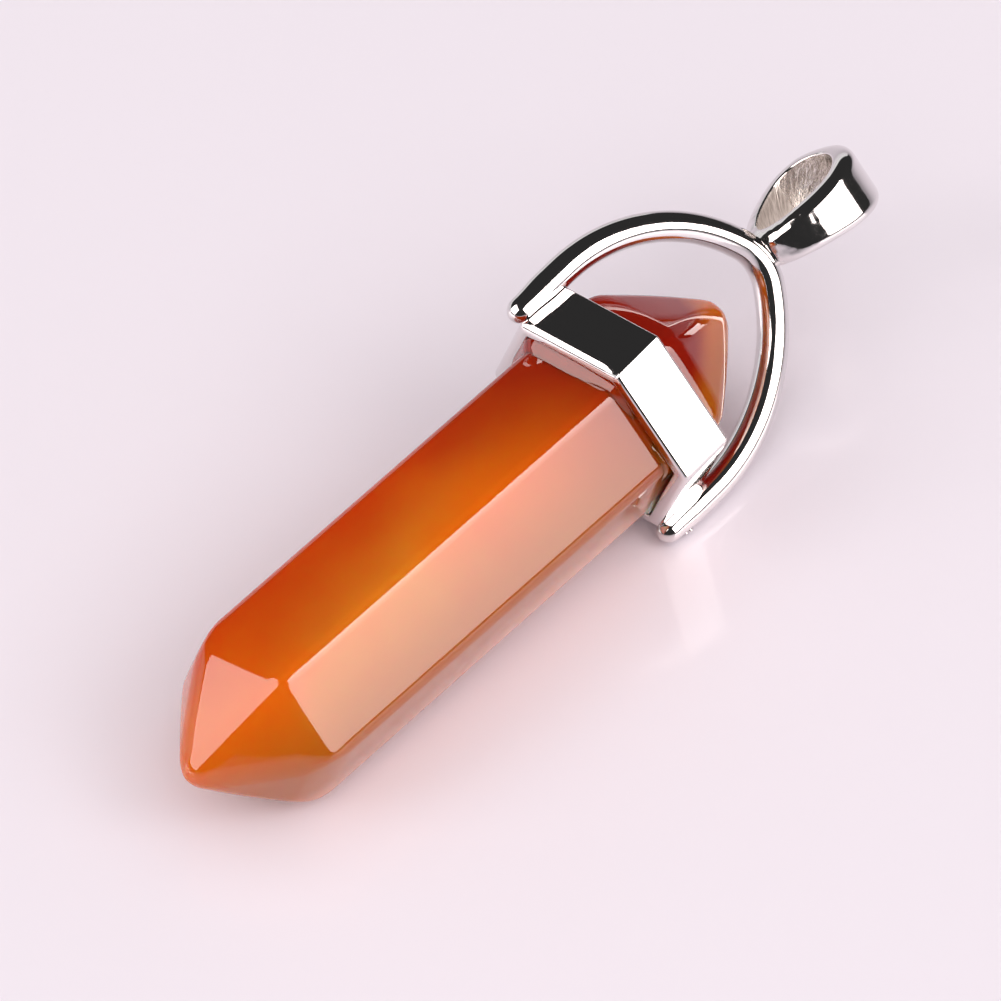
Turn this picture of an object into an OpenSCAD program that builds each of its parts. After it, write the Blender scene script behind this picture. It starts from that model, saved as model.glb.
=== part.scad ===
// Crystal point pendant: a polished six-sided stone with a point at each end, seated in a cast setting.
// The pendant is modelled along X, its lower point towards -X and its bail towards +X, with the plane of
// its yoke in XY. It is then laid on the floor, Z = 0, the way it comes to rest by itself.

/* [Stone] */
// Width of the stone across its flats
stone_af = 7.7; // [6:0.1:9]
// Length of the six-sided body between its two shoulders
body_len = 23.5; // [16:0.5:36]
// Height of the lower point as cut, before polishing
lower_point_h = 4.45; // [3.5:0.05:6]
// Height of the upper point as cut, before polishing
upper_point_h = 4.95; // [3.5:0.05:6]
// Radius that polishing leaves on every edge of the stone
polish_r = 0.6; // [0.3:0.05:0.9]
// How far the upper shoulder stands out behind the collar
shoulder_out = 1.03; // [0.5:0.01:2]

/* [Seat] */
// Lean of the glued stone within the plane of the yoke, in degrees
stone_lean = 2.4; // [0:0.1:3]
// Dip of the glued stone out of the plane of the yoke, in degrees
stone_dip = 0.6; // [0:0.1:1]
// How far the stone sits off the collar's middle, towards one leg
stone_shift = 0.1; // [0:0.01:0.15]
// Clearance between the stone's widest flat and the collar's hole
seat_gap = 0.12; // [0.08:0.01:0.2]

/* [Collar] */
// Height of the collar along the pendant
collar_h = 2.5; // [2:0.05:3.5]
// Wall of the collar at the middle of its flats
collar_wall = 0.63; // [0.5:0.01:1]

/* [Yoke] */
// Diameter of the yoke's round wire
wire_d = 1.36; // [1.1:0.02:1.6]
// How far the middle of each leg stands outside the collar's corner
leg_out = 0.35; // [0.2:0.01:0.5]
// Straight length of each leg behind the collar
leg_straight = 0.27; // [0.1:0.01:1]
// How far each leg's round end starts behind the collar's front rim
leg_end_in = 0.35; // [0.2:0.01:0.6]
// Free gap between the stone's upper point and the yoke's crest
tip_gap = 1.95; // [1:0.05:3]
// Radius of the yoke's crest, to the middle of the wire
crest_r = 2.5; // [2:0.1:3.5]

/* [Bail] */
// Length of the bail's oval hole along the pendant
hole_len = 4.5; // [3.8:0.1:6]
// Width of the bail's oval hole
hole_w = 3.6; // [3:0.1:4.4]
// Wall of the bail at its sides and foot
bail_wall = 0.6; // [0.5:0.05:0.9]
// Wall of the bail at its crown
crown_wall = 0.85; // [0.6:0.05:1.2]
// Width of the bail's band at its foot
foot_band_w = 1.12; // [0.9:0.02:1.5]
// Width of the bail's band at its crown, where it is widest
crown_band_w = 3.04; // [2.4:0.02:4]
// Radius of the crown's two corners
crown_corner_r = 0.7; // [0.4:0.05:0.9]
// How deep the bail's foot is sunk into the yoke's wire
foot_sink = 0.35; // [0.2:0.01:0.6]
// How far the bail's middle sits off the pendant's middle, towards the high leg
bail_shift = 0.12; // [0:0.01:0.2]

/* [Hidden] */
$fn = 64;

// Facets round each polished corner of the stone
POLISH_FN = 32;
// Steps of each rounded corner in the bail's outline
CORNER_STEPS = 8;
// Half the turn between two flats of a six-sided bar
HALF_TURN = 30;
// Length of a blade that cuts right through the bail
THROUGH = 20;
// How much a stretch of wire swells where it is joined to the next one
JOINT_SWELL = 0.004;
// How far the bail's outline runs past its foot, inside the yoke's wire
FOOT_RUN = 0.4;

// The stone's six corners, from the high leg on: [turn in degrees, share of the regular corner's radius].
// The second and third corners carry the broad flat that faces up, which stands out a little from the rest.
TURN = 0;
SHARE = 1;
stone_corners = [
    [0, 1],
    [62.3, 1.024],
    [117.7, 1.024],
    [180, 1],
    [240, 1],
    [300, 1]
];
// The corner that lies lowest when the pendant rests
LOW_CORNER = 4;

stone_r = stone_af / 2 / cos(HALF_TURN);
wire_r = wire_d / 2;

// Places along the stone, from the collar's front rim
upper_shoulder_x = collar_h + shoulder_out;
lower_shoulder_x = upper_shoulder_x - body_len;
upper_slope = atan2(stone_af / 2, upper_point_h);
lower_slope = atan2(stone_af / 2, lower_point_h);
upper_tip_x = upper_shoulder_x + upper_point_h - polish_r / sin(upper_slope) + polish_r;
upper_core_x = upper_shoulder_x - polish_r * tan(upper_slope / 2);
lower_core_x = lower_shoulder_x + polish_r * tan(lower_slope / 2);
lower_tip_core_x = lower_shoulder_x - lower_point_h + polish_r / sin(lower_slope);
upper_tip_core_x = upper_tip_x - polish_r;

// The hole that clears the stone, which leans and sits off the middle
flat_reach = max([for (c = stone_corners, flat = [HALF_TURN : 2 * HALF_TURN : 360])
    c[SHARE] * stone_r * cos(c[TURN] - flat)]);
lean_reach = stone_af / 2 + (stone_shift + collar_h / 2 * sin(stone_lean)) * cos(HALF_TURN);
dip_reach = flat_reach + collar_h / 2 * sin(stone_dip);
hole_af = 2 * (max(lean_reach, dip_reach) + seat_gap);
collar_af = hole_af + 2 * collar_wall;
collar_r = collar_af / 2 / cos(HALF_TURN);

// The yoke's middle line: straight legs, a wide arc on each side and a tight arc at the crest
leg_y = collar_r + leg_out;
crest_x = upper_tip_x + tip_gap + wire_r;
crest_centre_x = crest_x - crest_r;
leg_top_x = collar_h + leg_straight;
arc_run = crest_centre_x - leg_top_x;
side_r = (arc_run * arc_run + leg_y * leg_y - crest_r * crest_r) / (2 * (leg_y - crest_r));
side_centre_y = leg_y - side_r;
meet_angle = atan2(-side_centre_y, arc_run);
meet_point = [crest_centre_x + crest_r * cos(meet_angle), crest_r * sin(meet_angle), 0];

// The bail, from its foot in the yoke's crest to its crown
foot_x = crest_x + wire_r - foot_sink;
hole_start_x = foot_x + bail_wall;
hole_end_x = hole_start_x + hole_len;
crown_x = hole_end_x + crown_wall;
bail_r = hole_w / 2 + bail_wall;

function spin_y(p, a) = [p.x * cos(a) + p.z * sin(a), p.y, p.z * cos(a) - p.x * sin(a)];
function spin_z(p, a) = [p.x * cos(a) - p.y * sin(a), p.x * sin(a) + p.y * cos(a), p.z];

// A point of the stone, given in the stone's own frame, where the glue holds it in the collar
seat_middle = [collar_h / 2, 0, 0];
function seated(p) =
    spin_z(spin_y(p - seat_middle, -stone_dip), -stone_lean) + seat_middle + [0, -stone_shift, 0];

// Middle of the small ball that rounds one corner of the stone's shoulder
function core_corner(c, x) =
    let (r = c[SHARE] * stone_r - polish_r / cos(HALF_TURN))
    [x, r * cos(c[TURN]), r * sin(c[TURN])];

// The pendant rests on three round or pointed places, each a ball: the collar's lowest corner on its front
// rim, the lowest corner of the stone's lower shoulder, and the round end of the low leg.
low_corner = stone_corners[LOW_CORNER];
collar_contact = [0, collar_r * cos(low_corner[TURN]), collar_r * sin(low_corner[TURN])];
stone_contact = seated(core_corner(low_corner, lower_core_x));
leg_contact = [leg_end_in, -leg_y, 0];

// Up, as seen by the pendant: the floor touches all three balls from below
stone_arm = stone_contact - collar_contact;
leg_arm = leg_contact - collar_contact;
across = cross(stone_arm, leg_arm);
flat_up = (polish_r * cross(leg_arm, across) + wire_r * cross(across, stone_arm)) / (across * across);
steep_up = sqrt(1 - flat_up * flat_up) * across / norm(across);
up = flat_up + (across.z > 0 ? steep_up : -steep_up);
floor_level = up * collar_contact;
roll = atan2(up.y, up.z);
pitch = -atan2(up.x, norm([up.y, up.z]));

// Where a point of the pendant comes along the floor
function along_floor(p) = p.x * cos(pitch) + (p.y * sin(roll) + p.z * cos(roll)) * sin(pitch);
floor_start = along_floor(seated([lower_tip_core_x, 0, 0])) - polish_r;
floor_end = along_floor([crown_x, 0, 0]);
floor_middle = (floor_start + floor_end) / 2;

// Lays the pendant down on the floor, with its middle over the origin
module laid() {
    translate([-floor_middle, 0, -floor_level])
        rotate([roll, pitch, 0])
            children();
}

// The polished stone: one hull over the balls that round its corners and its two points
module stone_body() {
    translate(seat_middle + [0, -stone_shift, 0])
        rotate([0, -stone_dip, -stone_lean])
            translate(-seat_middle)
                hull() {
                    for (c = stone_corners, x = [lower_core_x, upper_core_x])
                        translate(core_corner(c, x))
                            sphere(r = polish_r, $fn = POLISH_FN);
                    for (x = [lower_tip_core_x, upper_tip_core_x])
                        translate([x, 0, 0])
                            sphere(r = polish_r, $fn = POLISH_FN);
                }
}

// A six-sided bar along X, with a corner on each leg
module six_bar(af, length) {
    r = af / 2 / cos(HALF_TURN);
    rotate([90, 0, 90])
        linear_extrude(height = length)
            polygon([for (a = [0 : 2 * HALF_TURN : 300]) [r * cos(a), r * sin(a)]]);
}

// The collar that holds the stone
module collar() {
    difference() {
        six_bar(collar_af, collar_h);
        translate([-collar_h, 0, 0])
            six_bar(hole_af, 3 * collar_h);
    }
}

// A ball in the yoke's wire, its poles along the wire
module wire_ball(at, r, wire_angle) {
    translate(at)
        rotate([0, 90, wire_angle])
            sphere(r = r);
}

// One leg of the yoke with its round end, and the wide arc that leads from it to the crest
module yoke_side() {
    wire_ball([leg_end_in, leg_y, 0], wire_r, 0);
    translate([leg_end_in, leg_y, 0])
        rotate([0, 90, 0])
            cylinder(r = wire_r, h = leg_top_x - leg_end_in);
    translate([leg_top_x, side_centre_y, 0])
        rotate([0, 0, meet_angle])
            rotate_extrude(angle = 90 - meet_angle)
                translate([side_r, 0])
                    circle(r = wire_r);
    wire_ball([leg_top_x, leg_y, 0], wire_r + JOINT_SWELL, 0);
    wire_ball(meet_point, wire_r + JOINT_SWELL, meet_angle + 90);
}

// The yoke's tight arc, which carries the bail
module yoke_crest() {
    translate([crest_centre_x, 0, 0])
        rotate([0, 0, -meet_angle])
            rotate_extrude(angle = 2 * meet_angle)
                translate([crest_r, 0])
                    circle(r = wire_r);
}

// An oval bar across the pendant, its round ends at x_start and x_end
module oval_bar(x_start, x_end, r, length) {
    rotate([90, 0, 0])
        translate([0, 0, -length / 2])
            linear_extrude(height = length) {
                for (x = [x_start + r, x_end - r])
                    translate([x, 0])
                        circle(r = r);
                translate([x_start + r, -r])
                    square([x_end - x_start - 2 * r, 2 * r]);
            }
}

// Outline of the bail's band from above: narrow at the foot, wide at the crown, with round corners
module band_outline() {
    corner_x = crown_x - crown_corner_r;
    corner_y = crown_band_w / 2 - crown_corner_r;
    side = [for (i = [0 : CORNER_STEPS])
        let (a = 90 * i / CORNER_STEPS)
        [corner_x + crown_corner_r * sin(a), corner_y + crown_corner_r * cos(a)]];
    foot = [[foot_x - FOOT_RUN, foot_band_w / 2], [foot_x, foot_band_w / 2]];
    upper = concat(foot, side);
    last = len(upper) - 1;
    lower = [for (i = [0 : last]) [upper[last - i].x, -upper[last - i].y]];
    polygon(concat(upper, lower));
}

// The tapered bail with its oval hole
module bail() {
    translate([0, bail_shift, 0])
        difference() {
            intersection() {
                oval_bar(foot_x, crown_x, bail_r, THROUGH);
                translate([0, 0, -THROUGH / 2])
                    linear_extrude(height = THROUGH)
                        band_outline();
            }
            oval_bar(hole_start_x, hole_end_x, hole_w / 2, 2 * THROUGH);
        }
}

// Sub-part: the stone
module stone() {
    color([0.80, 0.36, 0.14])
        laid()
            stone_body();
}

// Sub-part: the setting, which is collar, yoke and bail cast in one piece
module setting() {
    color("silver")
        laid() {
            collar();
            yoke_side();
            mirror([0, 1, 0])
                yoke_side();
            yoke_crest();
            bail();
        }
}

stone();
setting();
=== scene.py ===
"""Crystal point pendant: a polished carnelian, pointed at both ends, in a bright plated setting.

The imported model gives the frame: its stone and its setting keep their places. This script stands finer
surfaces in for them, worked out from the same sizes, and gives each its finish.
"""
import logging
from dataclasses import dataclass, replace
from enum import Enum
from typing import Sequence

import bmesh
import bpy
import numpy as np
from mathutils import Matrix, Vector


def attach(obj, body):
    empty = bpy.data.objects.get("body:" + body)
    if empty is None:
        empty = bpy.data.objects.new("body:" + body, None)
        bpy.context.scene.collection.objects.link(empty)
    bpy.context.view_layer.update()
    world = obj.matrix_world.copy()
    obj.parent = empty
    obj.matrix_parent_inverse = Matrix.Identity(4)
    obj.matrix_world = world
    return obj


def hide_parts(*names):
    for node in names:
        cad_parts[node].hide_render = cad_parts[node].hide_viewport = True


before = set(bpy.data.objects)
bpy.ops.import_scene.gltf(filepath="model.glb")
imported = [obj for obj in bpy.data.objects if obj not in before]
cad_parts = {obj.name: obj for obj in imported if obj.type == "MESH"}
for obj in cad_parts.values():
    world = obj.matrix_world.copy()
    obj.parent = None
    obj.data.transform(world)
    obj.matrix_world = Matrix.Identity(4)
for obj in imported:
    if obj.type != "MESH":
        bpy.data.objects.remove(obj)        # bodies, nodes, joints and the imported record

Array = np.ndarray
Material = bpy.types.Material
Object = bpy.types.Object
Socket = bpy.types.NodeSocket
Row = tuple[float, ...]
Span = tuple[float, float]
Tube = tuple[Array, Array, Array]

LOG = logging.getLogger("pendant")
MM = 0.001
ROOT_BODY = "root"
HEXAGON = 6
HALF_TURN = np.radians(30.0)
SHARP_ANGLE = np.radians(32.0)
X_AXIS, Y_AXIS, Z_AXIS = np.eye(3)
RISE: Span = (0.0, 1.0)
FALL: Span = (1.0, 0.0)


class Slot(Enum):
    """Material slots of the record."""

    STONE = "stone"
    SETTING = "setting"


def linear_colour(hex_code: str) -> tuple[float, float, float, float]:
    """Turns an sRGB hex colour into linear light.

    Args:
        hex_code: six hex digits after a hash sign.
    Returns:
        Linear red, green and blue, and an alpha of 1.
    """
    parts = np.array([int(hex_code[i:i + 2], 16) for i in (1, 3, 5)]) / 255.0
    light = np.where(parts <= 0.04045, parts / 12.92, ((parts + 0.055) / 1.055) ** 2.4)
    return (*map(float, light), 1.0)


def smooth_step(x: Array, low: float, high: float) -> Array:
    """Rises from 0 at low to 1 at high, level at both ends."""
    t = np.clip((x - low) / (high - low), 0.0, 1.0)
    return t * t * (3.0 - 2.0 * t)


def eased(count: int, power: float) -> Array:
    """count values from 0 to 1, denser near 0 by a power."""
    return np.linspace(0.0, 1.0, count) ** power


def unit(v: Array) -> Array:
    """The vectors along the last axis at length 1."""
    return v / np.linalg.norm(v, axis=-1, keepdims=True)


def around_axis(turns: Array) -> Array:
    """Directions square to the x axis, at turns in radians."""
    return np.stack([np.zeros_like(turns), np.cos(turns), np.sin(turns)], -1)


def arc(centre: Span, r: float, start: float, end: float, steps: int) -> Array:
    """Points of an arc in a plane, by its centre, radius and two angles in degrees."""
    a = np.radians(np.linspace(start, end, steps + 1))
    return np.stack([centre[0] + r * np.cos(a), centre[1] + r * np.sin(a)], -1)


def turned(points: Array, axis: int, angle: float) -> Array:
    """Turns points about an axis, anticlockwise seen from its far end.

    Args:
        points: (..., 3) array.
        axis: 0, 1 or 2.
        angle: in radians.
    Returns:
        The turned points.
    """
    i, j = (axis + 1) % 3, (axis + 2) % 3
    out = np.array(points, float)
    out[..., i] = points[..., i] * np.cos(angle) - points[..., j] * np.sin(angle)
    out[..., j] = points[..., i] * np.sin(angle) + points[..., j] * np.cos(angle)
    return out


@dataclass
class Sizes:
    """Driving sizes in millimetres and degrees, the same as the construction's own.

    The pendant's own frame has x along the pendant from the collar's front rim towards the bail, y towards
    the high leg, and z out of the collar's broad upper flat.
    """

    stone_af: float = 7.7
    body_len: float = 23.5
    lower_point_h: float = 4.45
    upper_point_h: float = 4.95
    polish_r: float = 0.6
    shoulder_out: float = 1.03
    stone_lean: float = 2.4
    stone_dip: float = 0.6
    stone_shift: float = 0.1
    seat_gap: float = 0.12
    collar_h: float = 2.5
    collar_wall: float = 0.63
    wire_d: float = 1.36
    leg_out: float = 0.35
    leg_straight: float = 0.27
    leg_end_in: float = 0.35
    tip_gap: float = 1.95
    crest_r: float = 2.5
    hole_len: float = 4.5
    bail_wall: float = 0.6
    crown_wall: float = 0.85
    foot_sink: float = 0.35
    corner_turns: Row = (0.0, 62.3, 117.7, 180.0, 240.0, 300.0)
    corner_shares: Row = (1.0, 1.024, 1.024, 1.0, 1.0, 1.0)
    low_corner: int = 4

    def __post_init__(self) -> None:
        """Works out the sizes that follow from the driving ones.

        The collar's hole clears the leaning, dipping stone by the seat gap. The yoke's side arc runs on from
        the leg and meets the crest's arc with no kink.
        """
        self.stone_r = self.stone_af / 2 / np.cos(HALF_TURN)
        self.wire_r = self.wire_d / 2
        self.upper_shoulder_x = self.collar_h + self.shoulder_out
        self.lower_shoulder_x = self.upper_shoulder_x - self.body_len
        self.lower_slope = np.arctan2(self.stone_af / 2, self.lower_point_h)
        upper_slope = np.arctan2(self.stone_af / 2, self.upper_point_h)
        tip_in = self.polish_r - self.polish_r / np.sin(upper_slope)
        upper_tip_x = self.upper_shoulder_x + self.upper_point_h + tip_in
        self.turns = np.radians(self.corner_turns)
        flats = np.arange(1, 2 * HEXAGON, 2) * HALF_TURN
        reach = np.outer(self.corner_shares, np.ones(HEXAGON)) * self.stone_r
        flat_reach = (reach * np.cos(self.turns[:, None] - flats)).max()
        half_h = self.collar_h / 2
        self.seat = half_h * X_AXIS
        lean_out = self.stone_shift + half_h * np.sin(np.radians(self.stone_lean))
        lean_reach = self.stone_af / 2 + lean_out * np.cos(HALF_TURN)
        dip_reach = flat_reach + half_h * np.sin(np.radians(self.stone_dip))
        self.hole_af = 2 * (max(lean_reach, dip_reach) + self.seat_gap)
        self.collar_af = self.hole_af + 2 * self.collar_wall
        self.collar_r = self.collar_af / 2 / np.cos(HALF_TURN)
        self.leg_y = self.collar_r + self.leg_out
        crest_x = upper_tip_x + self.tip_gap + self.wire_r
        self.crest_centre_x = crest_x - self.crest_r
        self.leg_top_x = self.collar_h + self.leg_straight
        run = self.crest_centre_x - self.leg_top_x
        self.side_r = (run**2 + self.leg_y**2 - self.crest_r**2) / (2 * (self.leg_y - self.crest_r))
        self.side_centre_y = self.leg_y - self.side_r
        self.meet_angle = np.arctan2(-self.side_centre_y, run)
        self.crest_len = self.crest_r * self.meet_angle
        self.side_len = self.side_r * (np.pi / 2 - self.meet_angle)
        self.foot_x = crest_x + self.wire_r - self.foot_sink
        self.crown_x = self.foot_x + self.bail_wall + self.hole_len + self.crown_wall

    def seated(self, points: Array) -> Array:
        """Places points of the stone's own frame where the glue holds the stone in the collar."""
        dipped = turned(points - self.seat, 1, -np.radians(self.stone_dip))
        return turned(dipped, 2, -np.radians(self.stone_lean)) + self.seat - self.stone_shift * Y_AXIS

    def shoulder_core(self, x: float) -> Array:
        """Middles of the small balls that round the shoulder's six corners at x."""
        r = np.array(self.corner_shares) * self.stone_r - self.polish_r / np.cos(HALF_TURN)
        return x * X_AXIS + r[:, None] * around_axis(self.turns)

    def between_corners(self, share: Array) -> Array:
        """Turns about the axis, at each share of the way from every corner to the next."""
        gaps = np.diff(np.append(self.turns, self.turns[0] + 2 * np.pi))
        return (self.turns[:, None] + gaps[:, None] * share).reshape(-1)


@dataclass
class RestPose:
    """Lays the pendant on the floor on three places: collar corner, stone corner and leg end."""

    sizes: Sizes

    def __post_init__(self) -> None:
        """Finds up, as seen by the pendant, from the three balls that the floor touches from below.

        One part of it, in the plane of the arms from the collar's corner to the other two balls, raises each
        of these by its radius. The rest is square to that plane.
        """
        s = self.sizes
        collar = s.collar_r * around_axis(s.turns[s.low_corner])
        core_x = s.lower_shoulder_x + s.polish_r * np.tan(s.lower_slope / 2)
        stone = s.seated(s.shoulder_core(core_x)[s.low_corner])
        leg = np.array([s.leg_end_in, -s.leg_y, 0.0])
        stone_arm, leg_arm = stone - collar, leg - collar
        across = np.cross(stone_arm, leg_arm)
        flat = s.polish_r * np.cross(leg_arm, across) + s.wire_r * np.cross(across, stone_arm)
        flat = flat / (across @ across)
        up = flat + np.sign(across[2]) * np.sqrt(1 - flat @ flat) * unit(across)
        self.roll = np.arctan2(up[1], up[2])
        self.pitch = -np.arctan2(up[0], np.hypot(up[1], up[2]))
        tip = s.lower_shoulder_x - s.lower_point_h + s.polish_r / np.sin(s.lower_slope)
        ends = self.turned(np.stack([s.seated(tip * X_AXIS), s.crown_x * X_AXIS]))
        self.middle_x = (ends[0, 0] - s.polish_r + ends[1, 0]) / 2
        self.level = up @ collar

    def turned(self, points: Array) -> Array:
        """Turns directions or points of the pendant's frame into the floor's."""
        return turned(turned(points, 0, self.roll), 1, self.pitch)

    def laid(self, points: Array) -> Array:
        """Points of the pendant's frame where they lie on the floor, in metres."""
        return (self.turned(points) - np.array([self.middle_x, 0.0, self.level])) * MM


def ring_quads(rings: int, around: int, closed: bool) -> list[list[int]]:
    """Corner numbers of the quads between neighbouring rings, outwards by the right-hand rule.

    Args:
        rings: number of rings.
        around: points in each ring.
        closed: whether the last ring joins the first.
    Returns:
        Each quad's corner numbers.
    """
    i = np.arange(rings if closed else rings - 1)[:, None]
    j = np.arange(around)[None, :]
    here, there = i * around, (i + 1) % rings * around
    quads = np.stack([here + j, there + j, there + (j + 1) % around, here + (j + 1) % around], -1)
    return quads.reshape(-1, 4).tolist()


def capped_tube(rings: Array, first: Array, last: Array) -> tuple[Array, list[list[int]]]:
    """Closes rings by a pole at each end.

    Args:
        rings: (rings, around, 3) array.
        first: the first ring's pole.
        last: the last ring's pole.
    Returns:
        The points, and each face's corner numbers.
    """
    count, around = rings.shape[:2]
    points = np.concatenate([rings.reshape(-1, 3), first[None], last[None]])
    j = np.arange(around)
    after = (j + 1) % around
    start = np.stack([0 * j + count * around, j, after], -1)
    base = (count - 1) * around
    end = np.stack([0 * j + count * around + 1, base + after, base + j], -1)
    return points, ring_quads(count, around, False) + start.tolist() + end.tolist()


def add_piece(name: str, points: Array, faces: Sequence, materials: Sequence) -> Object:
    """Makes an object of world points in the scene.

    Args:
        name: the object's name.
        points: (..., 3) array, in metres.
        faces: each face's corner numbers.
        materials: finishes by slot.
    Returns:
        The object.
    """
    mesh = bpy.data.meshes.new(name)
    mesh.from_pydata(points.reshape(-1, 3).tolist(), [], faces)
    mesh.update()
    for material in materials:
        mesh.materials.append(material)
    mesh.shade_smooth()
    piece = bpy.data.objects.new(name, mesh)
    bpy.context.scene.collection.objects.link(piece)
    return piece


def add_closed_ring(name: str, rings: Array, materials: Sequence) -> Object:
    """A piece of rings that is closed both ways, in metres."""
    return add_piece(name, rings, ring_quads(*rings.shape[:2], True), materials)


def make_outward(piece: Object) -> None:
    """Turns a closed piece's faces outwards, by the sign of the volume that they enclose.

    Args:
        piece: the piece.
    """
    work = bmesh.new()
    work.from_mesh(piece.data)
    if work.calc_volume(signed=True) < 0:
        bmesh.ops.reverse_faces(work, faces=work.faces)
        work.to_mesh(piece.data)
    work.free()


def unite(piece: Object, other: Object) -> None:
    """Unites two closed pieces.

    Args:
        piece: the one that becomes both.
        other: the one that is removed.
    """
    cut = piece.modifiers.new("unite", "BOOLEAN")
    cut.operation = "UNION"
    cut.solver = "EXACT"
    cut.object = other
    bpy.context.view_layer.update()
    graph = bpy.context.evaluated_depsgraph_get()
    mesh = bpy.data.meshes.new_from_object(piece.evaluated_get(graph))
    piece.modifiers.clear()
    old = piece.data
    piece.data = mesh
    bpy.data.meshes.remove(old)
    bpy.data.objects.remove(other)


def place_object(thing: Object, axes: Sequence[Array], spot: Array) -> None:
    """Links a lamp or the camera to the scene, by its axes' directions and its place in metres."""
    thing.matrix_world = Matrix.Translation(Vector(spot)) @ Matrix(np.stack(axes, -1).tolist()).to_4x4()
    bpy.context.scene.collection.objects.link(thing)


class Tree:
    """A node tree under construction: add adds any node, the other methods the common ones."""

    def __init__(self, owner: bpy.types.ID) -> None:
        """Empties the tree of a material, a world or a lamp.

        Args:
            owner: what has the tree.
        """
        owner.use_nodes = True
        self.tree = owner.node_tree
        self.tree.nodes.clear()

    def add(self, kind: str, settings: dict | None = None, **inputs: object) -> bpy.types.Node:
        """Adds a node, with its settings and what goes into its sockets.

        Args:
            kind: the node's type name without the ShaderNode prefix.
            settings: attributes of the node.
            **inputs: a value or socket for each input, by its name with _ for a space, or as in0, in1.
        Returns:
            The new node.
        """
        node = self.tree.nodes.new("ShaderNode" + kind)
        for key, value in (settings or {}).items():
            setattr(node, key, value)
        for key, value in inputs.items():
            by_place = key[:2] == "in" and key[2:].isdigit()
            socket = node.inputs[int(key[2:]) if by_place else key.replace("_", " ")]
            if isinstance(value, Socket):
                self.tree.links.new(value, socket)
            else:
                socket.default_value = value
        return node

    def math(self, operation: str, *values: float | Socket) -> Socket:
        """The result of a Math node."""
        inputs = {f"in{place}": value for place, value in enumerate(values)}
        return self.add("Math", {"operation": operation}, **inputs).outputs[0]

    def ramp(self, value: Socket, span: Span, ends: Span = RISE, smooth: bool = True) -> Socket:
        """Goes smoothly or straight from one end to the other while a value crosses a span."""
        kind = {"interpolation_type": "SMOOTHSTEP" if smooth else "LINEAR"}
        return self.add("MapRange", kind, Value=value, From_Min=span[0], From_Max=span[1], To_Min=ends[0],
                        To_Max=ends[1]).outputs[0]

    def mix(self, share: Socket, start: Socket | Sequence, hex_code: str) -> Socket:
        """The first colour with a share of a second one, given as hex, mixed in."""
        end = linear_colour(hex_code)
        return self.add("Mix", {"data_type": "RGBA"}, in0=share, in6=start, in7=end).outputs[2]

    def noise(self, where: Socket, grain: float, detail: float = 1.0, roughness: float = 0.5) -> Socket:
        """Noise with grains of a length, in the unit of the place's coordinates."""
        return self.add("TexNoise", Vector=where, Scale=1 / grain, Detail=detail,
                        Roughness=roughness).outputs[0]

    def bump(self, height: Socket, distance: float | Socket, **inputs: Socket) -> Socket:
        """A normal raised by a height of 0 to 1 times a distance in metres."""
        return self.add("Bump", Height=height, Distance=distance, **inputs).outputs[0]

    def principled(self, **inputs: object) -> None:
        """Adds the principled shader and the material's output."""
        shader = self.add("BsdfPrincipled", **inputs)
        self.add("OutputMaterial", Surface=shader.outputs[0])


def new_material(name: str) -> tuple[Material, Tree]:
    """A new material and its empty tree."""
    material = bpy.data.materials.new(name)
    return material, Tree(material)


def pose_coordinates(t: Tree, pose: RestPose) -> Socket:
    """The pendant's own coordinates in millimetres, got by undoing the rest pose on Object coordinates."""
    place = t.add("TexCoord").outputs["Object"]
    return t.add("Mapping", {"vector_type": "TEXTURE"}, Vector=place, Rotation=(pose.roll, pose.pitch, 0.0),
                 Location=(-pose.middle_x * MM, 0.0, -pose.level * MM), Scale=(MM, MM, MM)).outputs[0]


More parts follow.
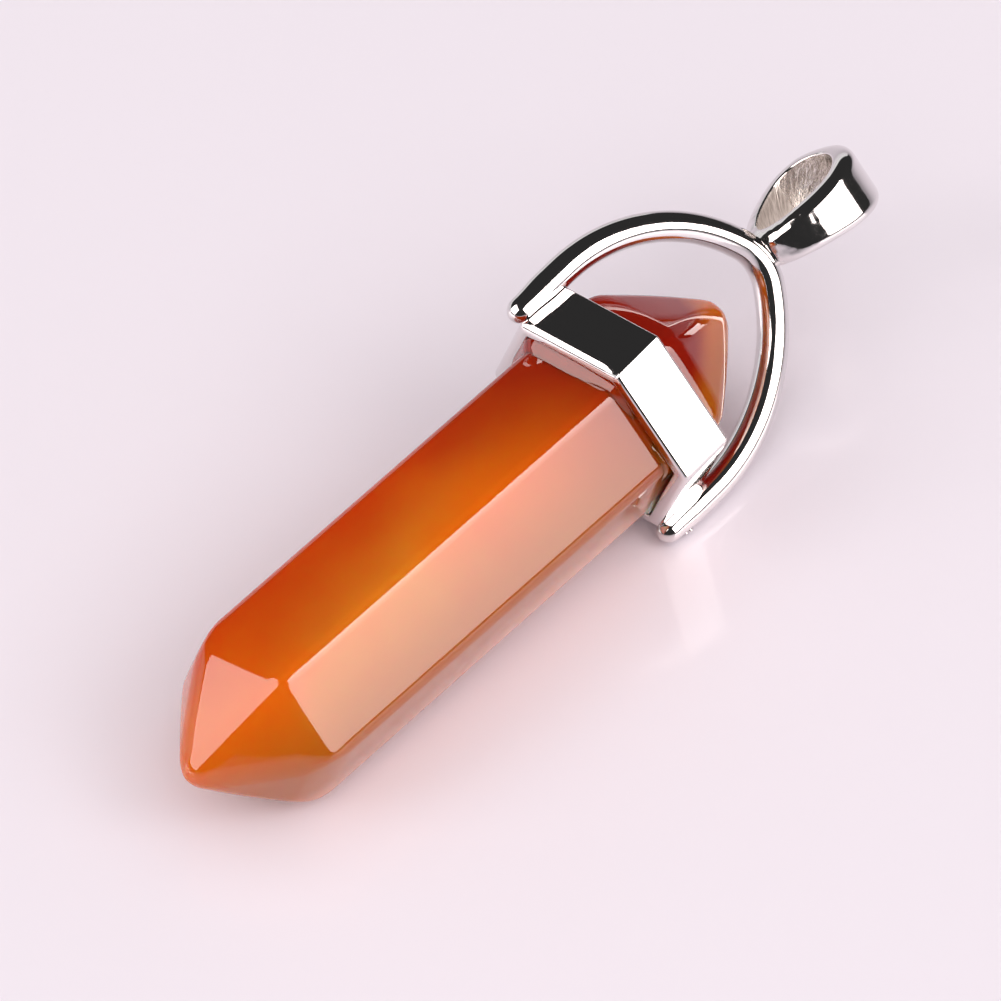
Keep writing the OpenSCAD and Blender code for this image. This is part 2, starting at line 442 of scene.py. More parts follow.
@dataclass(frozen=True)
class Carnelian:
    """Carnelian: chalcedony that iron oxide turns orange, tumbled to a glassy polish.

    Light goes a few millimetres deep, red the deepest, so the stone glows at its edges. It is red along the
    high corner, and paler, golden clouds lie half way along the bar. Painted shade makes it deep red towards
    the collar, where the metal keeps light out of the stone, and darker and browner on the low side. The far
    point is painted dark on its low side, which lies in shade, while the collar's painted shade fades out
    where light comes through the thin tip. The lowest corner is painted pale pink: a painted reflection of
    the floor, with the light that comes through the thin corner. Its ior is a little above that of quartz,
    for the strong shine.

    The zones are spans: red, the low side's painted shade and the corner's painted reflection of y; the
    collar's painted shade of x plus its own slant times y; where that shade fades out, and the far point's
    painted shade, of x plus far_slant times y. The clouds shift the red and the collar's shade by up to
    drift_mm.
    """

    orange: str = "#E26C0C"
    red: str = "#CC4208"
    # painted shade: deep red where little light gets into the stone, towards the collar and on the far
    # point's low side
    deep: str = "#981A08"
    pale: str = "#DE831E"
    # painted shade: the low side darker and browner
    low_side_shade: str = "#B05E14"
    # painted reflection: the pale pink of the floor, and light through the thin corner, at the lowest corner
    floor_reflection: str = "#F0B8A2"
    roughness: float = 0.03
    ior: float = 1.65
    glow_depth_mm: float = 1.6
    glow_shares: Row = (1.0, 0.35, 0.12)
    cloud_mm: float = 7.0
    cloud_range: Span = (0.42, 0.74)
    drift_mm: float = 1.5
    red_mm: Span = (2.4, 5.2)
    # span of the low side's painted shade
    low_side_shade_mm: Span = (-2.2, 2.8)
    # span of the lowest corner's painted reflection
    floor_reflection_mm: Span = (-4.4, -2.4)
    # slant and span of the painted shade towards the collar, along x plus the slant times y
    collar_shade_slant: float = 0.7
    collar_shade_mm: Span = (-6.8, 3.7)
    far_slant: float = -2.0
    # span over which the collar's painted shade fades out towards the far point, where light comes through
    # the thin tip
    collar_shade_end_mm: Span = (2.5, 6.0)
    # span of the painted shade on the far point's low side
    far_shade_mm: Span = (9.0, 11.5)
    gold_middle_mm: float = -12.5
    gold_half_mm: float = 8.0
    gold_rise: Span = (0.17, -0.06)

    def make(self, pose: RestPose) -> Material:
        """Builds the material, its zones placed in the pendant's own frame.

        Args:
            pose: how the pendant lies.
        Returns:
            The material.
        """
        material, t = new_material("carnelian_polished")
        where = pose_coordinates(t, pose)
        x, y = t.add("SeparateXYZ", Vector=where).outputs[:2]
        cloud = t.noise(where, self.cloud_mm, detail=2.0)
        drift = t.math("MULTIPLY_ADD", cloud, 2 * self.drift_mm, -self.drift_mm)
        # painted shade: darker red towards the collar, where the metal keeps light out, fading out towards
        # the far point
        along_collar_shade = t.math("ADD", t.math("MULTIPLY_ADD", y, self.collar_shade_slant, x), drift)
        along_far = t.math("MULTIPLY_ADD", y, self.far_slant, x)
        deep = t.math("MULTIPLY", t.ramp(along_collar_shade, self.collar_shade_mm), t.ramp(along_far, self.collar_shade_end_mm, FALL))
        from_gold = t.math("ABSOLUTE", t.math("ADD", x, -self.gold_middle_mm))
        gold = t.ramp(from_gold, (0.0, self.gold_half_mm), self.gold_rise, smooth=False)
        colour = linear_colour(self.orange)
        for share, tint in (
            (t.ramp(t.math("ADD", cloud, gold), self.cloud_range), self.pale),
            # painted shade: darker and browner towards the low side
            (t.ramp(y, self.low_side_shade_mm, FALL), self.low_side_shade),
            # painted reflection of the floor, with light through the thin corner, at the lowest corner
            (t.ramp(y, self.floor_reflection_mm, FALL), self.floor_reflection),
            (t.ramp(t.math("ADD", y, drift), self.red_mm), self.red),
            # painted shade: the deep red towards the collar and on the far point's shaded low side
            (t.math("MAXIMUM", deep, t.ramp(along_far, self.far_shade_mm)), self.deep),
        ):
            colour = t.mix(share, colour, tint)
        t.principled(Base_Color=colour, Roughness=self.roughness, IOR=self.ior, Subsurface_Weight=1.0,
                     Subsurface_Radius=self.glow_shares, Subsurface_Scale=self.glow_depth_mm * MM)
        return material


@dataclass(frozen=True)
class BrightPlating:
    """Rhodium-coloured plating on cast zinc, polished by tumbling.

    The casting below it shows as a faint ripple and as fine pits, which are drawn 0.2 mm wide so that they
    show at all. Lumps are left at the bail's foot, where the metal ran in.
    """

    colour: str = "#E6E2E2"
    roughness: Span = (0.05, 0.1)
    pit_range: Span = (0.3, 0.8)
    pit_mm: float = 0.2
    pit_height_mm: float = 0.0004
    ripple_mm: float = 1.1
    ripple_height_mm: float = 0.004
    lump_mm: float = 0.6
    lump_height_mm: float = 0.05
    foot_start_mm: Span = (10.9, 11.3)
    foot_end_mm: Span = (12.1, 14.2)

    def make(self, pose: RestPose) -> Material:
        """Builds the material, its lumps placed by the pendant's own x.

        Args:
            pose: how the pendant lies.
        Returns:
            The material.
        """
        material, t = new_material("plating_bright")
        where = pose_coordinates(t, pose)
        x = t.add("SeparateXYZ", Vector=where).outputs[0]
        wave, lump, pits = (t.noise(where, grain) for grain in (self.ripple_mm, self.lump_mm, self.pit_mm))
        rough = t.ramp(pits, self.pit_range, self.roughness, smooth=False)
        foot = t.math("MULTIPLY", t.ramp(x, self.foot_start_mm), t.ramp(x, self.foot_end_mm, FALL))
        ripple = t.bump(wave, self.ripple_height_mm * MM)
        lumps = t.bump(lump, self.lump_height_mm * MM, Strength=foot, Normal=ripple)
        pitted = t.bump(pits, self.pit_height_mm * MM, Normal=lumps)
        t.principled(Base_Color=linear_colour(self.colour), Metallic=1.0, Roughness=rough, Normal=pitted)
        return material


@dataclass(frozen=True)
class RawPlating:
    """The same plating over the unpolished casting inside the bail.

    A file went through the hole at a slant and left strokes about 0.1 mm wide and a millimetre long, deeper
    and shinier at the crown.
    """

    colour: str = "#F0EAE4"
    dull: str = "#CCC4BD"
    dull_range: Span = (0.35, 0.6)
    roughness: Span = (0.45, 0.16)
    stroke_mm: float = 0.11
    stroke_len_mm: float = 0.8
    stroke_height_mm: Span = (0.035, 0.10)
    crown_mm: Span = (13.2, 15.4)
    slant: float = 32.0

    def make(self, pose: RestPose) -> Material:
        """Builds the material. What has two values changes from the foot's to the crown's.

        Args:
            pose: how the pendant lies.
        Returns:
            The material.
        """
        material, t = new_material("plating_raw")
        where = pose_coordinates(t, pose)
        aslant = t.add("Mapping", Vector=where, Rotation=(0.0, 0.0, np.radians(self.slant)))
        drawn = t.add("Mapping", Vector=aslant.outputs[0],
                      Scale=(1 / self.stroke_mm, 1 / self.stroke_len_mm, 1 / (2 * self.stroke_mm)))
        strokes = t.noise(drawn.outputs[0], 1.0, detail=3.0, roughness=0.6)
        crown = t.ramp(t.add("SeparateXYZ", Vector=where).outputs[0], self.crown_mm)
        low, high = self.stroke_height_mm
        height = t.ramp(crown, RISE, (low * MM, high * MM), smooth=False)
        bright = t.ramp(strokes, self.dull_range, smooth=False)
        t.principled(Base_Color=t.mix(bright, linear_colour(self.dull), self.colour), Metallic=1.0,
                     Roughness=t.ramp(crown, RISE, self.roughness, smooth=False),
                     Normal=t.bump(strokes, height))
        return material


def rounded_meet(distances: Array, r: float) -> Array:
    """Joins half-spaces along the last axis with a rounded edge between neighbours.

    Each distance is raised by r. Where none is above 0, the largest stands. Elsewhere it is the root of the
    sum of the squares of those above 0. The result is lowered by r again.
    """
    raised = distances + r
    return np.minimum(raised.max(-1), 0.0) + np.sqrt((np.maximum(raised, 0.0) ** 2).sum(-1)) - r


@dataclass(frozen=True)
class Point:
    """One of the stone's two points, as tumbling left it.

    Its facets start at shoulder_x, point to way, +1 or -1, and meet off_y and off_z from the axis. They stand
    proud of flat by rise, most at crest of the way from shoulder to tip, on arcs of bow_r. edge_r rounds them
    against each other, shoulder_r against the sides. The tip is cut back by blunt.
    """

    shoulder_x: float
    height: float
    way: float
    edge_r: float
    shoulder_r: float
    rise: float
    blunt: float
    off_y: float
    off_z: float
    crest: float = 0.6
    bow_r: float = 45.0

    def outside(self, points: Array, out: Array, flat: Array, along: Array) -> Array:
        """How far points lie outside this end's facets.

        Each facet's plane holds the shoulder's edge and the tip, so its normal is their cross product. The
        arcs lower it by the square of the way from its crest over twice their radius.

        Args:
            points: (..., 3) places in the stone's frame.
            out: outward normals of the six sides.
            flat: the sides' distances from the axis.
            along: the sides' crosswise directions.
        Returns:
            A distance for each point, below 0 inside.
        """
        top = self.shoulder_x + self.way * self.height
        tip = np.array([top, self.off_y, self.off_z])
        start = out * flat[:, None] + X_AXIS * self.shoulder_x
        normals = unit(np.cross(along, tip - start))
        normals = normals * np.sign((normals * out).sum(-1, keepdims=True))
        slope = np.cross(normals, along)
        slope = slope * np.sign(slope[:, :1] * self.way)
        length = ((tip - start) * slope).sum(-1)
        run = points @ slope.T - (start * slope).sum(-1) - self.crest * length
        side = points @ along.T - (start * along).sum(-1)
        bow = (run**2 + side**2) / (2 * self.bow_r) - self.rise
        facets = points @ normals.T - (normals * tip).sum(-1) + bow
        end = (points[..., 0] - top) * self.way + self.blunt
        return rounded_meet(np.concatenate([facets, end[..., None]], -1), self.edge_r)


@dataclass
class Stone:
    """The stone: a six-sided bar with a six-sided point at each end, its edges blended by tumbling.

    lower_soft and upper_soft are the points' edge_r, shoulder_r, rise, blunt, off_y and off_z. The powers
    crowd the rays that find the surface at corners and shoulders.
    """

    sizes: Sizes
    pose: RestPose
    edge_r: float = 0.34
    side_bow_r: float = 120.0
    corner_rise: Row = (0.0, 0.0, 0.0, 0.18, 0.0, 0.0)
    lower_soft: Row = (0.46, 0.66, 0.18, 0.25, 0.02, -0.08)
    upper_soft: Row = (0.43, 0.30, 0.08, 0.70, 0.15, 0.14)
    around: int = 40
    body_rings: int = 50
    point_rings: int = 90
    halvings: int = 36
    corner_power: float = 1.5
    body_power: float = 2.2
    point_power: float = 1.25

    def __post_init__(self) -> None:
        """Sets out the six sides and the two points."""
        s = self.sizes
        core = s.shoulder_core(0.0)
        core = core + unit(core) * np.array(self.corner_rise)[:, None]
        self.along = unit(np.roll(core, -1, axis=0) - core)
        out = np.cross(self.along, X_AXIS)
        self.out = out * np.sign((out * core).sum(-1, keepdims=True))
        self.flat = (self.out * core).sum(-1) + s.polish_r
        self.points = (
            Point(s.upper_shoulder_x, s.upper_point_h, 1.0, *self.upper_soft),
            Point(s.lower_shoulder_x, s.lower_point_h, -1.0, *self.lower_soft),
        )

    def outside(self, points: Array) -> Array:
        """How far points lie outside the polished surface, each side of it a very shallow arc across.

        Args:
            points: (..., 3) places in the stone's frame.
        Returns:
            A distance for each point, below 0 inside.
        """
        bow = (points @ self.along.T) ** 2 / (2 * self.side_bow_r)
        whole = rounded_meet(points @ self.out.T - self.flat + bow, self.edge_r)
        for point in self.points:
            cut = point.outside(points, self.out, self.flat, self.along)
            whole = rounded_meet(np.stack([whole, cut], -1), point.shoulder_r)
        return whole

    def reach(self, start: Array, away: Array) -> Array:
        """Finds where rays from inside leave the stone, by halving all at once.

        Args:
            start: where the rays start.
            away: their directions.
        Returns:
            The distance along each ray, with a last axis of 1.
        """
        low = np.zeros(away.shape[:-1])
        high = np.full(away.shape[:-1], 2 * self.sizes.stone_r)
        for _ in range(self.halvings):
            mid = (low + high) / 2
            out = self.outside(start + mid[..., None] * away) > 0
            high = np.where(out, mid, high)
            low = np.where(out, low, mid)
        return low[..., None]

    def surface(self) -> Tube:
        """Meets the polished surface with rays from the axis.

        The rays leave the axis squarely along the body and fan out from its shoulders over the points.

        Returns:
            The rings, and the pole at each tip.
        """
        share = eased(self.around // 2 + 1, self.corner_power) / 2
        radial = around_axis(self.sizes.between_corners(np.concatenate([share[:-1], 1 - share[:0:-1]])))
        fan = (eased(self.point_rings + 1, self.point_power) * np.pi / 2)[:-1]
        half = eased(self.body_rings // 2 + 1, self.body_power) / 2
        share = np.concatenate([half[1:], (1 - half)[-2:0:-1]])
        low, high = self.sizes.lower_shoulder_x, self.sizes.upper_shoulder_x
        x = np.concatenate([np.full(len(fan), low), low + share * (high - low), np.full(len(fan), high)])
        tilt = np.concatenate([-fan[::-1], np.zeros(len(share)), fan])
        away = np.cos(tilt)[:, None, None] * radial + np.sin(tilt)[:, None, None] * X_AXIS
        start = x[:, None, None] * X_AXIS
        rings = start + self.reach(start, away) * away
        ends = np.array([low, high])[:, None] * X_AXIS
        ways = np.array([-1.0, 1.0])[:, None] * X_AXIS
        first, last = ends + self.reach(ends, ways) * ways
        return rings, first, last

    def build(self, finish: Material) -> Object:
        """Makes the stone's piece, which stands for its node.

        Args:
            finish: the carnelian.
        Returns:
            The piece.
        """
        points, faces = capped_tube(*self.surface())
        piece = add_piece("stone_polished", self.pose.laid(self.sizes.seated(points)), faces, [finish])
        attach(piece, ROOT_BODY)
        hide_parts("stone")
        return piece


@dataclass
class Collar:
    """The collar: a six-sided ring whose wall is a rounded bar, carried round the stone.

    front_outer_r rounds the front's outer edge, along each side. Tumbling wore it most on the high side.
    """

    sizes: Sizes
    front_outer_r: Row = (0.44, 0.2, 0.22, 0.3, 0.3, 0.4)
    back_outer_r: float = 0.14
    inner_r: float = 0.08
    corner_r: float = 0.16
    front_run: float = 0.19
    steps: int = 6
    flat_steps: int = 6

    def profile(self, f: float) -> Array:
        """The wall's section for a front rounding of f, a closed loop.

        Args:
            f: radius of the front's outer edge.
        Returns:
            (loop, 2) array of x and of the flat's distance from the axis.
        """
        s = self.sizes
        inner, outer = s.hole_af / 2, s.collar_af / 2
        b, i = self.back_outer_r, self.inner_r
        return np.concatenate([
            arc((s.collar_h - b, outer - b), b, 90, 0, self.steps),
            arc((s.collar_h - i, inner + i), i, 0, -90, self.steps),
            arc((i - self.front_run, inner + i), i, -90, -180, self.steps),
            arc((f - self.front_run, outer - f), f, 180, 90, self.steps),
        ])

    def rings(self) -> Array:
        """Carries each point of the section round a hexagon of its own distance, with round corners.

        Returns:
            (loop, around, 3) array.
        """
        side = np.array(self.front_outer_r)
        share = np.linspace(0, 1, self.steps + 1)
        radii = np.roll(side, 1)[:, None] * (1 - share) + side[:, None] * share
        profile = np.stack([self.profile(f) for f in radii.reshape(-1)], 1)
        profile = profile.reshape(len(profile), HEXAGON, -1, 2)
        a = np.linspace(-HALF_TURN, HALF_TURN, self.steps + 1)
        corner = (np.arange(HEXAGON) * 2 * HALF_TURN)[:, None]
        reach = (profile[..., 1] - self.corner_r) / np.cos(HALF_TURN)
        y = reach * np.cos(corner) + self.corner_r * np.cos(corner + a)
        z = reach * np.sin(corner) + self.corner_r * np.sin(corner + a)
        points = np.stack([profile[..., 0], y, z], -1)
        share = np.linspace(0, 1, self.flat_steps + 1)[1:-1][:, None]
        gap = np.roll(points[:, :, 0], -1, axis=1) - points[:, :, -1]
        flat = points[:, :, -1, None] + share * gap[:, :, None]
        return np.concatenate([points, flat], axis=2).reshape(len(profile), -1, 3)


@dataclass
class Glue:
    """The clear glue that holds the stone: a bevel from the collar's front rim down to the stone.

    run and rise hold the bevel's length along the stone and its height on the rim, at each of the stone's
    corners and at the middle of the side after it. A rise below 0 has no glue to show. The bevel swells by
    bulge of its rise and ends foot below the stone's skin. It starts rim_in behind the rim, turns back by
    toe_in, and is hidden from there on.
    """

    sizes: Sizes
    pose: RestPose
    stone: Stone
    rim_x: float
    run: Row = (0.42, 0.42, 0.26, 0.05, 0.16, 0.05, 0.2, 0.2, 0.2, 0.2, 0.2, 0.36)
    rise: Row = (0.44, 0.42, 0.32, -0.06, 0.12, -0.06, 0.15, 0.15, 0.15, 0.15, 0.15, 0.46)
    bulge: float = 0.05
    foot: float = 0.01
    rim_in: float = 0.03
    toe_in: float = 0.02
    sunk: float = 0.1
    deep: float = 0.4
    around_side: int = 24
    bevel_steps: int = 6

    def rings(self) -> Array:
        """Carries the bevel's section round the stone, closed inside the stone and inside the collar.

        The open side is a straight slope with a slight bulge. The rim's plane is found at each turn, as the
        stone leans in the collar.

        Returns:
            (around, loop, 3) array in the stone's frame.
        """
        seated = self.sizes.seated
        radial = around_axis(self.sizes.between_corners(np.arange(self.around_side) / self.around_side))
        skin = self.stone.reach(np.zeros_like(radial), radial)
        lean = seated(X_AXIS)[0] - seated(0 * X_AXIS)[0]
        rim = ((self.rim_x - seated(skin * radial)[:, 0]) / lean)[:, None]
        place = np.arange(HEXAGON * self.around_side) / self.around_side * 2
        low = place.astype(int)
        share = smooth_step(place - low, 0.0, 1.0)
        knots = np.array([self.run, self.rise])
        run, rise = (knots[:, low] * (1 - share) + np.roll(knots, -1, axis=1)[:, low] * share)[..., None]
        share = np.linspace(0, 1, self.bevel_steps + 1)
        swell = self.bulge * rise * 4 * share * (1 - share)
        x = rim - run * share - swell * rise / np.hypot(run, rise)
        h = rise * (1 - share) + swell * run / np.hypot(run, rise) - self.foot
        back, under = rim + self.deep, np.full_like(rise, -self.sunk)
        x = np.concatenate([back, rim + self.rim_in, x, x[:, -1:] + self.toe_in, back], axis=1)
        h = np.concatenate([np.minimum(rise, self.sunk), rise - self.foot, h, under, under], axis=1)
        return x[..., None] * X_AXIS + (skin + h)[..., None] * radial[:, None, :]

    def build(self, finish: Material) -> Object:
        """Makes the glue's piece.

        Args:
            finish: the carnelian, which shows through the clear glue.
        Returns:
            The piece.
        """
        piece = add_closed_ring("glue_bevel", self.pose.laid(self.sizes.seated(self.rings())), [finish])
        make_outward(piece)
        piece.data.set_sharp_from_angle(angle=SHARP_ANGLE)
        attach(piece, ROOT_BODY)
        return piece


@dataclass
class Yoke:
    """The yoke: an oval wire from leg end to leg end over the stone's upper point.

    Over the last taper_len of each leg the wire gets thinner by end_taper.
    """

    sizes: Sizes
    flat_half: float = 0.665
    deep_half: float = 0.73
    end_taper: float = 0.14
    taper_len: float = 1.6
    around: int = 40
    along: int = 220
    end_rings: int = 14

    def middle(self, run: Array) -> tuple[Array, Array]:
        """Follows the middle line: an arc of the crest's radius, one of the side's radius, then a straight.

        Args:
            run: signed distances from the crest's top.
        Returns:
            Places on the line, and its outward directions.
        """
        s = self.sizes
        q = np.abs(run)
        a = np.where(q < s.crest_len, q / s.crest_r, s.meet_angle + (q - s.crest_len) / s.side_r)
        a = np.minimum(a, np.pi / 2)
        on_crest = np.stack([s.crest_centre_x + s.crest_r * np.cos(a), s.crest_r * np.sin(a)], -1)
        on_side = np.stack([s.leg_top_x + s.side_r * np.cos(a), s.side_centre_y + s.side_r * np.sin(a)], -1)
        spot = np.where((q < s.crest_len)[:, None], on_crest, on_side)
        spot[:, 0] -= np.maximum(q - s.crest_len - s.side_len, 0.0)
        sign = np.where(run < 0, -1.0, 1.0)
        zero = np.zeros_like(q)
        line = np.stack([spot[:, 0], sign * spot[:, 1], zero], -1)
        return line, np.stack([np.cos(a), sign * np.sin(a), zero], -1)

    def rings(self) -> Tube:
        """Carries the oval section along the middle line, with a round end on each leg.

        Returns:
            The rings, and the pole at each end.
        """
        s = self.sizes
        half = s.crest_len + s.side_len + s.leg_top_x - s.leg_end_in
        turn = np.linspace(0, np.pi / 2, self.end_rings + 1)[1:-1]
        beyond = s.wire_r * np.sin(turn)
        run = np.concatenate([-half - beyond[::-1], np.linspace(-half, half, self.along), half + beyond])
        size = np.concatenate([np.cos(turn)[::-1], np.ones(self.along), np.cos(turn)])
        size = size * (1 - self.end_taper * smooth_step(np.abs(run), half - self.taper_len, half))
        line, out = self.middle(run)
        a = np.linspace(0, 2 * np.pi, self.around, endpoint=False)
        flat = (self.flat_half * size)[:, None, None] * np.cos(a)[:, None] * out[:, None, :]
        deep = (self.deep_half * size)[:, None, None] * np.sin(a)[:, None] * Z_AXIS
        first, last = self.middle(np.array([-half - s.wire_r, half + s.wire_r]))[0]
        return line[:, None, :] + flat + deep, first, last


@dataclass
class Bail:
    """The bail: a tapered band round an oval hole, its outer side domed.

    The hole is a superellipse of roundness, skewed along x by egg times the square of its width. The band
    draws in by crown_draw over draw_len at its crown, and is thicker where it faces along x by crown_from or
    more. Its dome is a superellipse of over_power, over_side across by over_deep of the wall.
    """

    sizes: Sizes
    middle_x: float = 13.95
    middle_z: float = -0.148
    hole_len: float = 4.48
    hole_w: float = 3.41
    roundness: float = 1.74
    egg: float = 0.27
    wall: float = 0.8
    crown_wall: float = 0.9
    crown_from: float = 0.2
    foot_half: float = 0.81
    crown_half: float = 1.53
    crown_draw: float = 0.13
    draw_len: float = 1.4
    over_deep: float = 0.86
    over_side: float = 0.51
    over_power: float = 2.3
    inner_r: float = 0.08
    shift: float = 0.10
    around: int = 160
    steps: int = 12
    rim_steps: int = 4
    across_steps: int = 10

    def half_width(self, x: Array) -> Array:
        """Half the band's width, which grows evenly from foot to crown and draws in at the crown.

        Args:
            x: places along the pendant.
        Returns:
            The half width at each.
        """
        crown_x = self.middle_x + self.hole_len / 2 + self.crown_wall
        share = (x - self.sizes.foot_x) / (crown_x - self.sizes.foot_x)
        grown = self.foot_half + share * (self.crown_half - self.foot_half)
        return grown - self.crown_draw * smooth_step(x, crown_x - self.draw_len, crown_x)

    def oval(self) -> tuple[Array, Array]:
        """Sets out the hole's rim.

        Returns:
            The rim's points in the middle of the band, and their outward directions.
        """
        a = np.linspace(0, 2 * np.pi, self.around, endpoint=False)
        power = 2 / self.roundness
        c = np.sign(np.cos(a)) * np.abs(np.cos(a)) ** power
        d = np.sign(np.sin(a)) * np.abs(np.sin(a)) ** power
        x = self.middle_x + self.hole_len / 2 * (c + self.egg * d**2)
        z = self.middle_z + self.hole_w / 2 * d
        rim = np.stack([x, np.zeros_like(x), z], -1)
        step = np.roll(rim, -1, axis=0) - np.roll(rim, 1, axis=0)
        return rim, unit(np.stack([step[:, 2], np.zeros_like(x), -step[:, 0]], -1))

    def rings(self) -> tuple[Array, Array]:
        """Carries the band's section round the hole's oval.

        From the outer face inwards each half of the section is the dome, then a small arc at the rim.

        Returns:
            (around, loop, 3) array, and for each place in the loop whether it lies on the raw inside.
        """
        rim, out = self.oval()
        wall = self.wall + (self.crown_wall - self.wall) * smooth_step(out[:, 0], self.crown_from, 1.0)
        turn = np.linspace(0, np.pi / 2, self.steps + 1)
        power = 2 / self.over_power
        deep = wall[:, None] * (1 - self.over_deep * (1 - np.cos(turn) ** power))
        side = self.over_side * (1 - np.sin(turn) ** power)
        inner = arc((0.0, 0.0), self.inner_r, 0, -90, self.rim_steps)
        low = np.broadcast_to(self.inner_r + inner[:, 1], (self.around, len(inner)))
        inset = np.concatenate([side, self.inner_r - inner[:, 0]])
        place = rim[:, None, :] + np.concatenate([deep, low], axis=1)[..., None] * out[:, None, :]
        across = (self.half_width(place[..., 0]) - inset)[..., None] * Y_AXIS
        half, other = place + across, place - across
        share = np.linspace(0, 1, self.across_steps + 1)[1:-1][:, None]
        inside = half[:, -1, None] + share * (other[:, -1] - half[:, -1])[:, None]
        outside = other[:, 0, None] + share * (half[:, 0] - other[:, 0])[:, None]
        loop = np.concatenate([half, inside, other[:, ::-1], outside], axis=1)
        raw = np.zeros(loop.shape[1], bool)
        raw[half.shape[1] - 1:half.shape[1] + inside.shape[1]] = True
        loop[..., 1] += self.shift
        return loop, raw


@dataclass(frozen=True)
class Bead:
    """A tiny round bead that the casting left on a leg, by its middle and radius."""

    x: float
    y: float
    z: float
    r: float
    around: int = 16

    def rings(self) -> Tube:
        """Sets out the ball by latitude and longitude about x.

        Returns:
            The rings, and the two poles.
        """
        middle = np.array([self.x, self.y, self.z])
        tilt = np.linspace(-np.pi / 2, np.pi / 2, self.around // 2 + 1)[1:-1, None]
        a = np.linspace(0, 2 * np.pi, self.around, endpoint=False)
        ball = np.stack([np.sin(tilt) + 0 * a, np.cos(tilt) * np.cos(a), np.cos(tilt) * np.sin(a)], -1)
        return middle + self.r * ball, middle - self.r * X_AXIS, middle + self.r * X_AXIS


@dataclass
class Setting:
    """The setting: collar, yoke, bail and two stray beads, cast in one piece."""

    sizes: Sizes
    pose: RestPose
    beads: tuple[Bead, ...] = (Bead(1.02, -6.56, 0.05, 0.10), Bead(0.78, -6.53, 0.02, 0.08))

    def build(self, bright: Material, raw: Material) -> Object:
        """Unites the parts in one closed skin, which stands for the node.

        Args:
            bright: finish of all but the bail's inside.
            raw: finish of the bail's inside.
        Returns:
            The piece.
        """
        finishes = [bright, raw]
        collar = add_closed_ring("setting_cast", self.pose.laid(Collar(self.sizes).rings()), finishes)
        others = []
        for name, form in (("yoke_wire", Yoke(self.sizes)), *(("bead", bead) for bead in self.beads)):
            points, faces = capped_tube(*form.rings())
            others.append(add_piece(name, self.pose.laid(points), faces, finishes))
        loop, inside = Bail(self.sizes).rings()
        bail = add_closed_ring("bail_band", self.pose.laid(loop), finishes)
        on_raw = np.tile(inside, loop.shape[0])
        bail.data.polygons.foreach_set("material_index", on_raw.astype(np.int32))
        others.insert(1, bail)
        make_outward(collar)
        for part in others:
            make_outward(part)
            unite(collar, part)
        collar.data.set_sharp_from_angle(angle=SHARP_ANGLE)
        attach(collar, ROOT_BODY)
        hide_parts("setting")
        return collar


class Seen(Enum):
    """Which rays a screen answers: those that light matt things, or those of mirror images."""

    LIGHT = "light"
    MIRROR = "mirror"


@dataclass(frozen=True)
class Screen:
    """A flat glowing screen that faces the pendant.

    towards and height are the turn from +x and the rise above the floor of its middle, in degrees. The sizes
    are in millimetres. The radiance is brightness against white, and low_share of that at the bottom edge.
    """

    name: str
    seen: Seen
    towards: float
    height: float
    distance: float
    wide: float
    high: float
    radiance: float
    tint: str = "#FFFFFF"
    low_share: float = 1.0

    def build(self) -> None:
        """Adds the screen as a lamp, whose power is radiance times area times pi."""
        w, h, d = self.wide * MM, self.high * MM, self.distance * MM
        data = bpy.data.lights.new(self.name, "AREA")
        data.shape = "RECTANGLE"
        data.size, data.size_y = w, h
        data.energy = self.radiance * w * h * np.pi
        data.color = linear_colour(self.tint)[:3]
        if self.low_share < 1.0:
            t = Tree(data)
            rise = t.add("SeparateXYZ", Vector=t.add("NewGeometry").outputs["Parametric"]).outputs[1]
            glow = t.add("Emission", Strength=t.ramp(rise, RISE, (self.low_share, 1.0), smooth=False))
            t.add("OutputLight", Surface=glow.outputs[0])
        lamp = bpy.data.objects.new(data.name, data)
        a, e = np.radians([self.towards, self.height])
        out = np.array([np.cos(a) * np.cos(e), np.sin(a) * np.cos(e), np.sin(e)])
        side = np.array([-np.sin(a), np.cos(a), 0.0])
        place_object(lamp, (side, np.cross(out, side), out), out * d)
        lamp.visible_camera = False
        lamp.visible_glossy = self.seen is Seen.MIRROR
        lamp.visible_transmission = self.seen is Seen.MIRROR
        lamp.visible_diffuse = self.seen is Seen.LIGHT


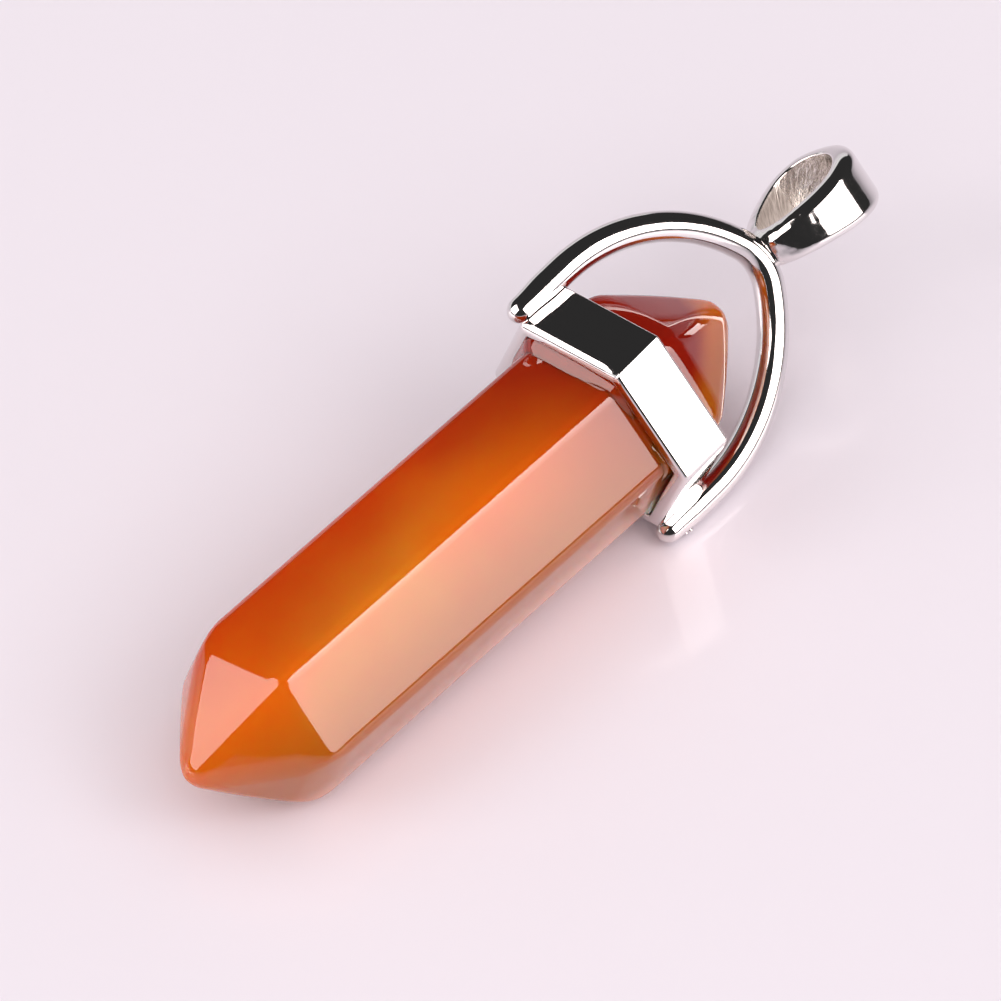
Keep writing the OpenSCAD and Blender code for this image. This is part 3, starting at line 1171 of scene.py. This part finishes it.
@dataclass
class Studio:
    """Floor, lamps and camera. Lengths are in millimetres and angles in degrees."""

    aim: Row = (-2.052, 0.082, 5.3)
    towards: float = -47.441
    elevation: float = 51.013
    roll: float = -1.436
    distance: float = 495.845
    view_px: float = 1001.0
    focal_px: float = 12000.0
    sensor: float = 36.0
    clip: Span = (10.0, 10000.0)
    floor_half: float = 700.0
    floor_colour: str = "#F6EBF3"
    floor_roughness: float = 0.12
    floor_shine: float = 0.25
    room_strength: float = 0.03
    side_shares: Row = (0.95, 0.4, 0.9, 1.0, 1.2, 1.1)
    side_fill: Screen = Screen("fill_side", Seen.LIGHT, 0, 24, 700, 720, 420, 0.6)
    lamps: tuple[Screen, ...] = (
        Screen("softbox_right", Seen.MIRROR, -75, 34, 600, 640, 620, 8, "#FFF6F2", 0.45),
        Screen("softbox_left", Seen.MIRROR, 150, 32, 600, 640, 560, 3.9, "#FFF6F2"),
        Screen("card_back", Seen.MIRROR, 85, 3.8, 600, 1500, 80, 0.8),
        Screen("key_right", Seen.LIGHT, -70, 45, 600, 280, 280, 2.3),
        Screen("key_left", Seen.LIGHT, 150, 36, 600, 280, 280, 2.5),
        Screen("fill_front", Seen.LIGHT, -137.4, 51, 700, 900, 900, 0.3),
        Screen("fill_top", Seen.LIGHT, -137.4, 80, 800, 1600, 1600, 0.88),
    )

    def camera(self) -> None:
        """Places the camera by its aim, direction, distance and roll."""
        a, e, r = np.radians([self.towards, self.elevation, self.roll])
        ahead = np.array([-np.sin(a) * np.cos(e), np.cos(a) * np.cos(e), -np.sin(e)])
        level = unit(np.cross(ahead, Z_AXIS))
        right = level * np.cos(r) + np.cross(level, ahead) * np.sin(r)
        data = bpy.data.cameras.new("camera")
        data.sensor_width = self.sensor
        data.lens = self.sensor * self.focal_px / self.view_px
        data.clip_start, data.clip_end = (limit * MM for limit in self.clip)
        camera = bpy.data.objects.new("camera", data)
        spot = (np.array(self.aim) - ahead * self.distance) * MM
        place_object(camera, (right, np.cross(right, ahead), -ahead), spot)
        bpy.context.scene.camera = camera

    def floor(self) -> None:
        """Lays the plain pale floor."""
        material, t = new_material("floor_acrylic")
        t.principled(Base_Color=linear_colour(self.floor_colour), Roughness=self.floor_roughness,
                     Specular_IOR_Level=self.floor_shine)
        h = self.floor_half * MM
        points = np.array([[-h, -h, 0], [h, -h, 0], [h, h, 0], [-h, h, 0]])
        floor = add_piece("floor", points, [[0, 1, 2, 3]], [material])

    def room(self) -> None:
        """Lights the room behind the lamps evenly and dimly."""
        world = bpy.data.worlds.new("room")
        bpy.context.scene.world = world
        t = Tree(world)
        back = t.add("Background", Color=linear_colour("#FFFFFF"), Strength=self.room_strength)
        t.add("OutputWorld", Surface=back.outputs[0])

    def build(self) -> None:
        """Sets up the studio, with the side fill's screens all round."""
        self.camera()
        self.floor()
        self.room()
        for lamp in self.lamps:
            lamp.build()
        for k, share in enumerate(self.side_shares):
            turn = 360.0 * k / len(self.side_shares)
            glow = self.side_fill.radiance * share
            replace(self.side_fill, name=f"fill_side_{k}", towards=turn, radiance=glow).build()
        bpy.context.scene.view_settings.view_transform = "Standard"


def main() -> None:
    """Builds the pieces in order and reports each."""
    logging.basicConfig(level=logging.INFO, format="%(name)s: %(message)s")
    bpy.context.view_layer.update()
    sizes = Sizes()
    pose = RestPose(sizes)
    Studio().build()
    carnelian = Carnelian().make(pose)
    stone = Stone(sizes, pose)
    pieces = [
        stone.build(carnelian),
        Setting(sizes, pose).build(BrightPlating().make(pose), RawPlating().make(pose)),
        Glue(sizes, pose, stone, -Collar(sizes).front_run).build(carnelian),
    ]
    for piece in pieces:
        box = np.array(piece.bound_box) / MM
        LOG.info("%s: %d faces, from %s to %s mm", piece.name, len(piece.data.polygons),
                 *np.round([box.min(0), box.max(0)], 2))


if __name__ == "__main__":
    main()
